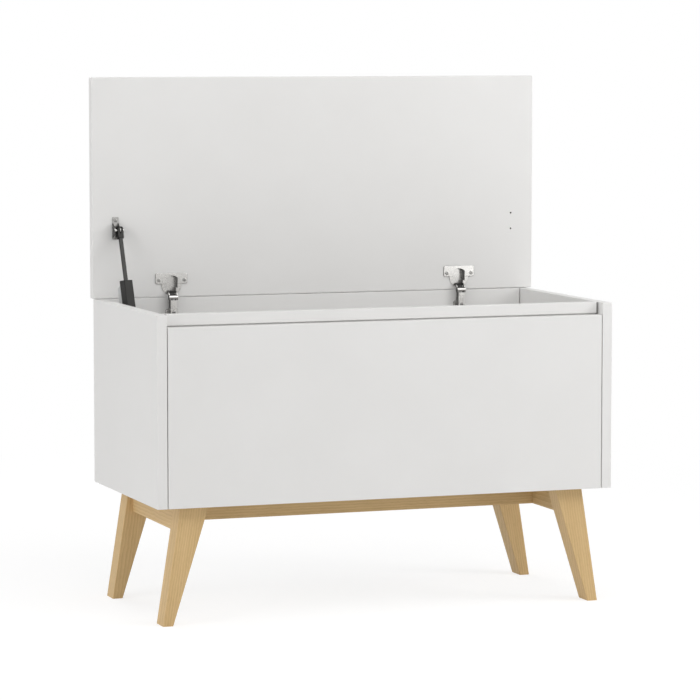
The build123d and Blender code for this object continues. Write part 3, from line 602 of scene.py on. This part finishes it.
def add_head(mesh, spot, head_r, head_h, pan):
    """Head of a screw along the spot's Z, its top at the origin. Returns its lowest loop."""
    last = ring(mesh, spot, head_r * (PAN_TOP if pan else FLAT_TOP), 0.0)
    mouth = cross_loop(mesh, spot, head_r, RECESS_MOUTH, 0.0)
    bmesh.ops.triangle_fill(mesh, use_beauty=True, edges=loop_edges(mesh, last) + loop_edges(mesh, mouth))
    bottom = cross_loop(mesh, spot, head_r, RECESS_FLOOR, head_h * RECESS_DEPTH)
    bridge(mesh, mouth, bottom)
    mesh.faces.new(bottom)
    for share, drop in (PAN_RINGS if pan else FLAT_RINGS):
        following = ring(mesh, spot, head_r * share, head_h * drop)
        bridge(mesh, last, following)
        last = following
    return last


def add_shank(mesh, spot, last, start, shank_r, length):
    """Threaded shank from the head's lowest loop to the screw's point."""
    pitch = shank_r * THREAD_PITCH
    tip = length - POINT_LENGTH * shank_r
    count = max(1, int((tip - start) / pitch * THREAD_STEPS))
    for step in range(count + 1):
        depth = start + (tip - start) * step / count
        following = ring(mesh, spot, thread_radius(shank_r * THREAD_CORE, shank_r, depth / pitch), depth)
        bridge(mesh, last, following)
        last = following
    point = ring(mesh, spot, shank_r * POINT_END, length)
    bridge(mesh, last, point)
    mesh.faces.new(point)


def spot_at(place, way, spin):
    """Frame with its origin at a place and its Z along a way, spun about it."""
    aim = Vector(way).to_track_quat("Z", "Y").to_matrix().to_4x4()
    return Matrix.Translation(place) @ aim @ Matrix.Rotation(spin, 4, "Z")


def screw_set(node, way, body, finish, size, pan_range=NOWHERE):
    """Detailed screws for a node's plain ones. Those that lie within a range along X have pan heads."""
    head_h, shank_share = size
    axis = max(range(3), key=lambda index: abs(way[index]))
    across = (axis + 1) % 3
    mesh = bmesh.new()
    for count, (low, high) in enumerate(islands(node)):
        place = (low + high) / 2
        place[axis] = low[axis] if way[axis] > 0 else high[axis]
        spot = spot_at(place, way, FIRST_SPIN + NEXT_SPIN * count)
        head_r = (high[across] - low[across]) / 2
        pan = pan_range[0] < low.x and high.x < pan_range[1]
        last = add_head(mesh, spot, head_r, head_h, pan)
        add_shank(mesh, spot, last, head_h, head_r * shank_share, high[axis] - low[axis])
    bmesh.ops.recalc_face_normals(mesh, faces=mesh.faces)
    piece = new_object(node + "_detail", mesh)
    piece.data.shade_smooth()
    piece.data.set_sharp_from_angle(angle=SHARP_ANGLE)
    stand_in(piece, node, body, finish)


def all_screws(finishes):
    """Screws of the hinges, the stay, the leg frame and the front panel."""
    # darker copy of the nickel: painted shade
    nickel = finishes["nickel_screw"]
    zinc = finishes["zinc_steel"]
    for side in ("left", "right"):
        on_arm = [corner.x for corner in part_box(f"hinge_{side}_arm")]
        screw_set(f"hinge_{side}_cup_screws", (0, 1, 0), "lid", nickel, CUP_SCREW)
        screw_set(f"hinge_{side}_screws", (0, 1, 0), "carcass", nickel, ARM_SCREW, on_arm)
    screw_set("stay_bracket_screws", (0, 1, 0), "lid", nickel, BRACKET_SCREW, ANYWHERE)
    screw_set("stay_damper_screws", (-1, 0, 0), "carcass", zinc, DAMPER_SCREW)
    screw_set("frame_screws", (0, 0, 1), "carcass", zinc, FRAME_SCREW)
    screw_set("front_panel_screws", (0, -1, 0), "carcass", zinc, PANEL_SCREW)


# Front rail with shadow gaps

def add_box(mesh, low, high):
    """Box between two corners."""
    size = Vector(high) - Vector(low)
    middle = (Vector(high) + Vector(low)) / 2
    bmesh.ops.create_cube(mesh, size=1.0, matrix=Matrix.Translation(middle) @ Matrix.Diagonal((*size, 1.0)))


def rebated(node, boxes):
    """Copy of a CAD board with boxes cut out of it."""
    board = new_object(node + "_detail", node_mesh(node))
    mesh = bmesh.new()
    for low, high in boxes:
        add_box(mesh, low, high)
    cutter = new_object(node + "_cutter", mesh)
    cut = board.modifiers.new("rebate", "BOOLEAN")
    cut.object = cutter
    cut.solver = "EXACT"
    cut.use_self = True
    data = bpy.data.meshes.new_from_object(board.evaluated_get(bpy.context.evaluated_depsgraph_get()))
    board.modifiers.clear()
    board.data = data
    bpy.data.objects.remove(cutter)
    data.shade_flat()
    return board


def rail_gaps():
    """Shadow gaps of the front rail, along the side panels and above the front panel."""
    low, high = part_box("front_rail")
    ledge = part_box("front_panel")[1].z
    inside = low.y + RAIL_GAP_DEPTH
    outside = low.y - RAIL_GAP_DEPTH
    over = high.z + RAIL_GAP_DEPTH
    boxes = []
    for end in (low.x, high.x):
        boxes.append(((end - RAIL_END_GAP, outside, ledge), (end + RAIL_END_GAP, inside, over)))
    boxes.append(((low.x, outside, ledge - RAIL_LOW_GAP), (high.x, inside, ledge + RAIL_LOW_GAP)))
    stand_in(rebated("front_rail", boxes), "front_rail", "carcass", rail_lacquer())


# Stage

def seen(tree):
    """1 where the view, a reflection or a refraction looks, 0 for light on the object."""
    path = tree.nodes.new("ShaderNodeLightPath")
    highest = path.outputs["Is Camera Ray"]
    for name in ("Is Glossy Ray", "Is Transmission Ray"):
        node = tree.nodes.new("ShaderNodeMath")
        node.operation = "MAXIMUM"
        tree.links.new(highest, node.inputs[0])
        tree.links.new(path.outputs[name], node.inputs[1])
        highest = node.outputs["Value"]
    return highest


def sky():
    """Even room light, and a white background."""
    world = bpy.data.worlds.new("studio")
    bpy.context.scene.world = world
    world.use_nodes = True
    tree = world.node_tree
    light = tree.nodes["Background"]
    shown = tree.nodes.new("ShaderNodeBackground")
    for node, level in ((light, SKY_LEVEL), (shown, SHOWN_LEVEL)):
        node.inputs["Color"].default_value = (1.0, 1.0, 1.0, 1.0)
        node.inputs["Strength"].default_value = level
    mix = tree.nodes.new("ShaderNodeMixShader")
    tree.links.new(seen(tree), mix.inputs["Fac"])
    tree.links.new(light.outputs[0], mix.inputs[1])
    tree.links.new(shown.outputs[0], mix.inputs[2])
    tree.links.new(mix.outputs[0], tree.nodes["World Output"].inputs["Surface"])


def floor_finish():
    """Pale floor that takes the bench's shadow and fades to the background's white."""
    finish = Finish("floor")
    finish.nodes.remove(finish.shader)
    looked_at = seen(finish.material.node_tree)
    distance = finish.add("VectorMath", {0: finish.place()}, operation="LENGTH").outputs["Value"]
    far = finish.times(finish.span(distance, FLOOR_FADE, WHOLE), looked_at)
    tone = finish.span(looked_at, WHOLE, (FLOOR_BOUNCE, FLOOR_TONE))
    matt = finish.add("BsdfDiffuse", {"Color": tone}).outputs[0]
    lift = finish.add("Emission", {"Strength": finish.times(looked_at, FLOOR_LIFT)}).outputs[0]
    near = finish.add("AddShader", {0: matt, 1: lift}).outputs[0]
    white = finish.add("Emission", {"Strength": SHOWN_LEVEL}).outputs[0]
    mix = finish.add("MixShader", {0: far, 1: near, 2: white}).outputs[0]
    finish.links.new(mix, finish.nodes["Material Output"].inputs["Surface"])
    return finish.material


def floor():
    """Wide floor under the feet."""
    mesh = bmesh.new()
    bmesh.ops.create_grid(mesh, x_segments=FLOOR_SQUARES, y_segments=FLOOR_SQUARES, size=FLOOR_SIZE / 2)
    piece = new_object("floor", mesh)
    piece.data.materials.append(floor_finish())


def softbox(name, place, size, power):
    """Square lamp aimed at the middle of the bench."""
    data = bpy.data.lights.new(name, "AREA")
    data.shape = "SQUARE"
    data.size = size
    data.energy = power
    lamp = bpy.data.objects.new(name, data)
    lamp.location = place
    lamp.rotation_euler = (Vector(AIM) - Vector(place)).to_track_quat("-Z", "Y").to_euler()
    bpy.context.scene.collection.objects.link(lamp)


def camera():
    """Camera at the photo's place."""
    data = bpy.data.cameras.new("camera")
    data.sensor_width = SENSOR_MM
    data.lens = LENS_MM
    eye = bpy.data.objects.new("camera", data)
    eye.location = CAMERA_PLACE
    eye.rotation_euler = (math.radians(90 + CAMERA_PITCH), 0.0, math.radians(-CAMERA_YAW))
    bpy.context.scene.collection.objects.link(eye)
    bpy.context.scene.camera = eye


finishes = shared_finishes()
dress_nodes(finishes)
all_screws(finishes)
rail_gaps()
sky()
floor()
for lamp_name, look in LAMPS.items():
    softbox(lamp_name, *look)
camera()
bpy.context.scene.view_settings.view_transform = "Standard"
